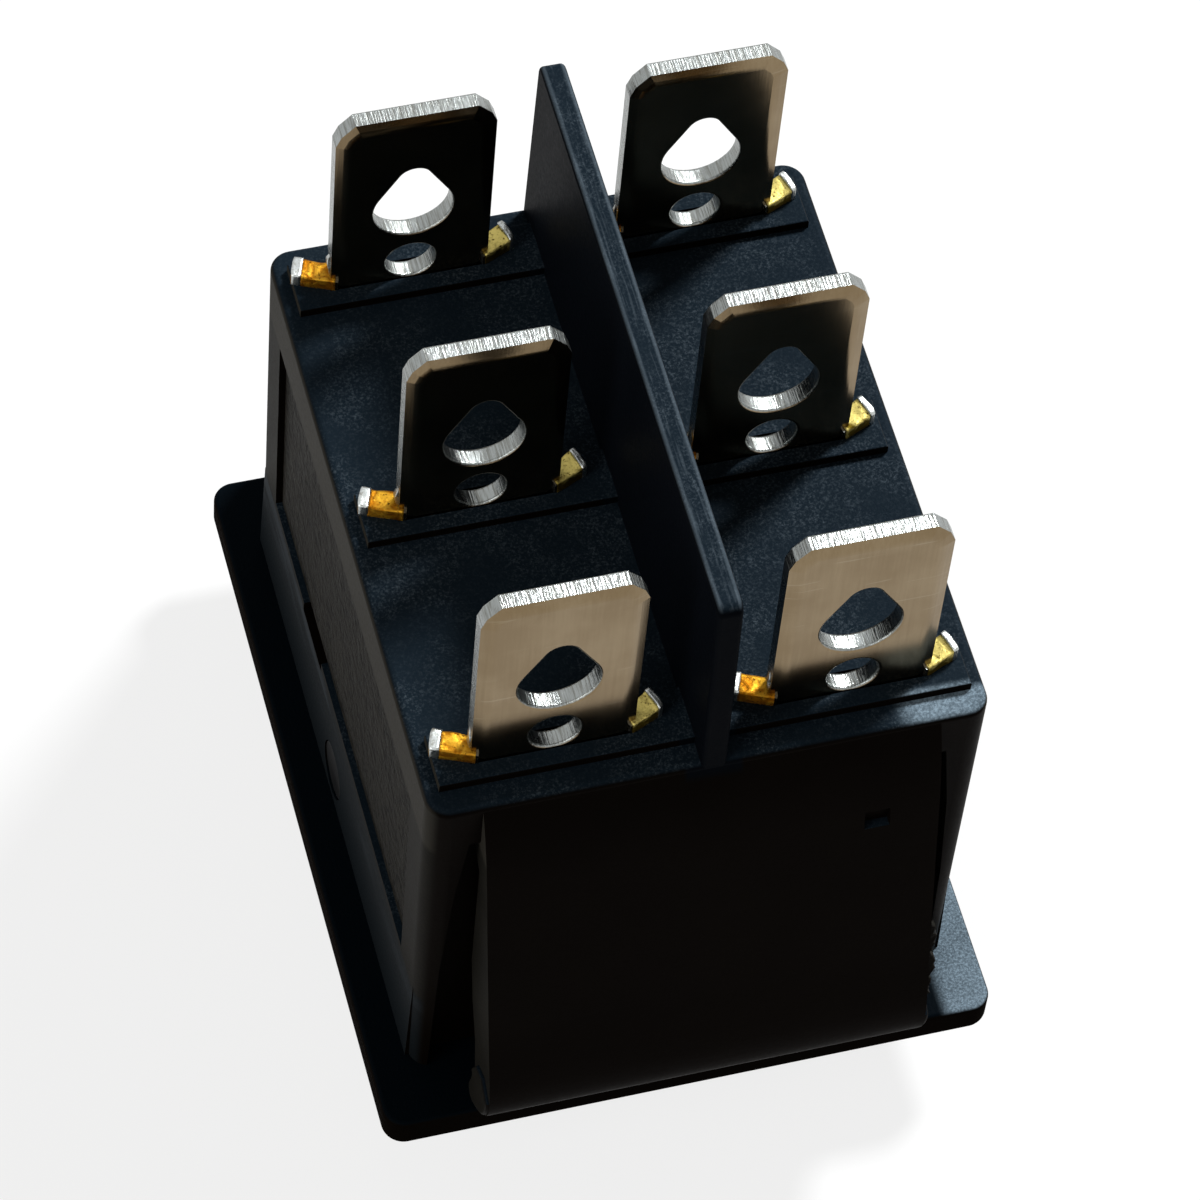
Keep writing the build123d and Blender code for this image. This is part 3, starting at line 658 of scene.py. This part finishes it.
def ears():
    """Two ears on each of the six blades, and a burr over each left-hand one."""
    gold = sheared_brass("ear_brass_gold", BRASS_GOLD, BRASS_ORANGE, 0.55)
    lit_cream = sheared_brass("ear_brass_cream_lit", BRASS_CREAM_HIGHLIGHT, BRASS_OLIVE_SHADE, 1.0)
    nickel = ear_nickel()
    seed = FIRST_SEED
    for pole, pole_side in POLES.items():
        for row, row_side in ROWS.items():
            for side, word, brass in ((-1, "left", gold), (1, "right", lit_cream)):
                seed += SEED_STEP
                x = pole_side * pole_x + side * (BLADE_W / 2 - EAR_INSET)
                origin = Vector((x, row_side * ROW_PITCH, pad_top)) * MM
                ear(f"ear_{pole}_{row}_{word}", origin, side, seed, brass, nickel)
                if side < 0:
                    burr(f"burr_{pole}_{row}", origin, side, seed, nickel)


# Plunger springs: closed turns at the ends, open coils between.  Millimetres.
WIRE_D = 0.4
SPRING_TURNS = 7.5
CLOSED_TURNS = 1.0
CLOSED_PITCH = 0.41
TURN_STEPS = 28
WIRE_SIDES = 10


def coil_spring(side, wire):
    """The coil stands on the rocker at its foot and meets the plunger at its head."""
    node = f"plunger_spring_{side}"
    low, high = (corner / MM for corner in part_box(node))
    middle = (low + high) / 2
    radius = (high.x - low.x - WIRE_D) / 2
    foot = low.z + WIRE_D / 2
    head = high.z - WIRE_D / 2
    closed_h = CLOSED_TURNS * CLOSED_PITCH
    open_pitch = (head - foot - 2 * closed_h) / (SPRING_TURNS - 2 * CLOSED_TURNS)

    def height(turn):
        first = min(turn, CLOSED_TURNS)
        last = max(0.0, turn - SPRING_TURNS + CLOSED_TURNS)
        return foot + CLOSED_PITCH * (first + last) + open_pitch * (turn - first - last)

    steps = int(SPRING_TURNS * TURN_STEPS)
    verts = []
    for n in range(steps + 1):
        turn = SPRING_TURNS * n / steps
        angle = 2 * pi * turn
        out = Vector((cos(angle), sin(angle), 0))
        centre = Vector((middle.x, middle.y, height(turn))) + out * radius
        for k in range(WIRE_SIDES):
            around = 2 * pi * k / WIRE_SIDES
            rim = out * cos(around) + Vector((0, 0, 1)) * sin(around)
            verts.append((centre + rim * WIRE_D / 2) * MM)
    faces = []
    for n in range(steps):
        for k in range(WIRE_SIDES):
            a = n * WIRE_SIDES + k
            b = n * WIRE_SIDES + (k + 1) % WIRE_SIDES
            faces.append((a, b, b + WIRE_SIDES, a + WIRE_SIDES))
    faces.append(tuple(range(WIRE_SIDES)))
    faces.append(tuple(steps * WIRE_SIDES + k for k in range(WIRE_SIDES)))

    coil = solid_piece(f"spring_coil_{side}", verts, faces, wire, None)
    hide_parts(node)
    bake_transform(coil)


# Ragged flash down one edge of each snap wing.  Millimetres.
WING_EDGE_X = 8.86
FLASH_Z0 = 3.9
FLASH_Z1 = 8.6
FLASH_OUT = 0.34
FLASH_IN = 0.08
FLASH_LEAST = 0.1
FLASH_THICK = 0.3
FLASH_STEPS = 40
PROBE_IN = 0.3
PROBE_FROM = 30


def wing_flash(plastic):
    """Thin torn fins that stand out sideways from the wings, each a little behind the wing's face."""
    surface = BVHTree.FromObject(nodes["housing"], bpy.context.evaluated_depsgraph_get())

    def wing_y(z, turn):
        start = Vector((turn * (WING_EDGE_X - PROBE_IN), -turn * PROBE_FROM, z)) * MM
        hit = surface.ray_cast(start, Vector((0, turn, 0)))[0]
        return hit.y / MM

    for word, turn in (("front", 1), ("rear", -1)):
        step = (FLASH_Z1 - FLASH_Z0) / FLASH_STEPS
        heights = [FLASH_Z0 + step * n for n in range(FLASH_STEPS + 1)]
        depths = [wing_y(z, turn) for z in heights]

        def point(u, v, w):
            n = min(FLASH_STEPS, int(round(w * FLASH_STEPS)))
            ragged = abs(noise.noise(Vector((2.0, turn, 2.3 * heights[n]))))
            ragged += 0.6 * abs(noise.noise(Vector((7.0, turn, 6.1 * heights[n]))))
            fade = min(1.0, 6 * w, 6 * (1 - w))
            out = FLASH_LEAST + FLASH_OUT * min(1.0, 1.7 * ragged)
            x = turn * (WING_EDGE_X - FLASH_IN + u * out * fade)
            y = depths[n] + turn * (FLASH_IN + FLASH_THICK * v + 0.25 * u * ragged)
            return Vector((x, y, heights[n])) * MM

        verts, faces = grid_shell((4, 3, FLASH_STEPS), point)
        solid_piece(f"wing_flash_{word}", verts, faces, plastic, "housing")


def dress_frame():
    """Gives each node of the frame its finish, by the longest kind that its name starts with."""
    silver = contact_silver()
    finishes = {
        "housing": HousingFinish().build(),
        "rocker": rocker_plastic(),
        "terminal": plated_strip(),
        "contact_lever": rolled_brass(),
        "fixed_contact": silver,
        "moving_contact": silver,
        "plunger_spring": spring_steel(),
        "plunger": natural_nylon(),
    }
    for name, node in nodes.items():
        kind = max((k for k in finishes if name.startswith(k)), key=len)
        for index in range(len(node.data.materials)):
            node.data.materials[index] = finishes[kind]
    return finishes


def camera():
    """The photograph's view."""
    az = radians(CAMERA_AZIMUTH)
    el = radians(CAMERA_ELEVATION)
    roll = radians(CAMERA_ROLL)
    back = Vector((sin(az) * cos(el), -cos(az) * cos(el), sin(el)))
    right = Vector((cos(az), sin(az), 0))
    up = back.cross(right)
    local_x = right * cos(roll) + up * sin(roll)
    local_y = up * cos(roll) - right * sin(roll)
    data = bpy.data.cameras.new("camera")
    data.lens = CAMERA_LENS
    data.sensor_width = CAMERA_SENSOR
    data.clip_start, data.clip_end = CAMERA_CLIP
    piece = bpy.data.objects.new("camera", data)
    axes = Matrix((local_x, local_y, back)).transposed().to_4x4()
    piece.matrix_world = Matrix.Translation(Vector(CAMERA_PLACE) * MM) @ axes
    bpy.context.scene.collection.objects.link(piece)
    bpy.context.scene.camera = piece


def seen_rays(tree):
    """Largest of the camera, glossy and transmission ray flags."""
    path = tree.nodes.new("ShaderNodeLightPath")
    first = tree.nodes.new("ShaderNodeMath")
    first.operation = "MAXIMUM"
    tree.links.new(path.outputs["Is Camera Ray"], first.inputs[0])
    tree.links.new(path.outputs["Is Glossy Ray"], first.inputs[1])
    second = tree.nodes.new("ShaderNodeMath")
    second.operation = "MAXIMUM"
    tree.links.new(first.outputs[0], second.inputs[0])
    tree.links.new(path.outputs["Is Transmission Ray"], second.inputs[1])
    return second.outputs[0]


# Floor and light.  Metres and watts.
WHITE = (1, 1, 1, 1)
FLOOR_REACH = 4.0
FLOOR_TONE = (0.18, 0.18, 0.178)
FLOOR_ROUGHNESS = 0.9
FLOOR_SPECULAR = 0.1
FLOOR_GLOW = 0.81
WORLD_LIGHT = 0.18
LAMP_AIM = (0, 0, 0.012)


def floor():
    """Plain pale floor under the part; it looks white to the camera and to glossy rays."""
    z = cad_box[0][2]
    mesh = bpy.data.meshes.new("floor")
    corners = [(x * FLOOR_REACH, y * FLOOR_REACH, z) for x, y in ((-1, -1), (1, -1), (1, 1), (-1, 1))]
    mesh.from_pydata(corners, [], [(0, 1, 2, 3)])
    material = bpy.data.materials.new("floor_white")
    material.use_nodes = True
    tree = material.node_tree
    shader = tree.nodes["Principled BSDF"]
    shader.inputs["Base Color"].default_value = (*FLOOR_TONE, 1)
    shader.inputs["Roughness"].default_value = FLOOR_ROUGHNESS
    shader.inputs["Specular IOR Level"].default_value = FLOOR_SPECULAR
    shader.inputs["Emission Color"].default_value = WHITE
    glow = tree.nodes.new("ShaderNodeMath")
    glow.operation = "MULTIPLY"
    tree.links.new(seen_rays(tree), glow.inputs[0])
    glow.inputs[1].default_value = FLOOR_GLOW
    tree.links.new(glow.outputs[0], shader.inputs["Emission Strength"])
    mesh.materials.append(material)
    piece = bpy.data.objects.new("floor", mesh)
    bpy.context.scene.collection.objects.link(piece)


def studio():
    """World that lights softly, and is white where it is seen or mirrored."""
    world = bpy.data.worlds.new("studio")
    bpy.context.scene.world = world
    world.use_nodes = True
    tree = world.node_tree
    background = tree.nodes["Background"]
    background.inputs["Color"].default_value = WHITE
    strength = tree.nodes.new("ShaderNodeMapRange")
    tree.links.new(seen_rays(tree), strength.inputs["Value"])
    strength.inputs["To Min"].default_value = WORLD_LIGHT
    strength.inputs["To Max"].default_value = 1.0
    tree.links.new(strength.outputs["Result"], background.inputs["Strength"])


def lamp(name, direction, distance, size, power, colour):
    """Round soft lamp, in a direction from the middle of the part and turned towards it."""
    data = bpy.data.lights.new(name, "AREA")
    data.shape = "DISK"
    data.size = size
    data.energy = power
    data.color = colour
    piece = bpy.data.objects.new(name, data)
    away = Vector(direction).normalized()
    piece.location = Vector(LAMP_AIM) + away * distance
    piece.rotation_euler = away.to_track_quat("Z", "Y").to_euler()
    bpy.context.scene.collection.objects.link(piece)


def lights():
    """A small cool key from behind on the right, and a wide warm fill from the front on the left."""
    lamp("key", (0.62, 0.42, 0.72), distance=0.8, size=0.15, power=8.6, colour=(0.97, 0.985, 1.0))
    lamp("fill", (-0.80, -0.35, 0.48), distance=0.9, size=0.5, power=2.4, colour=(1.0, 0.985, 0.955))


finishes = dress_frame()
ears()
wing_flash(finishes["housing"])
for side in POLES:
    coil_spring(side, finishes["plunger_spring"])
camera()
floor()
studio()
lights()
bpy.context.scene.view_settings.view_transform = "Standard"
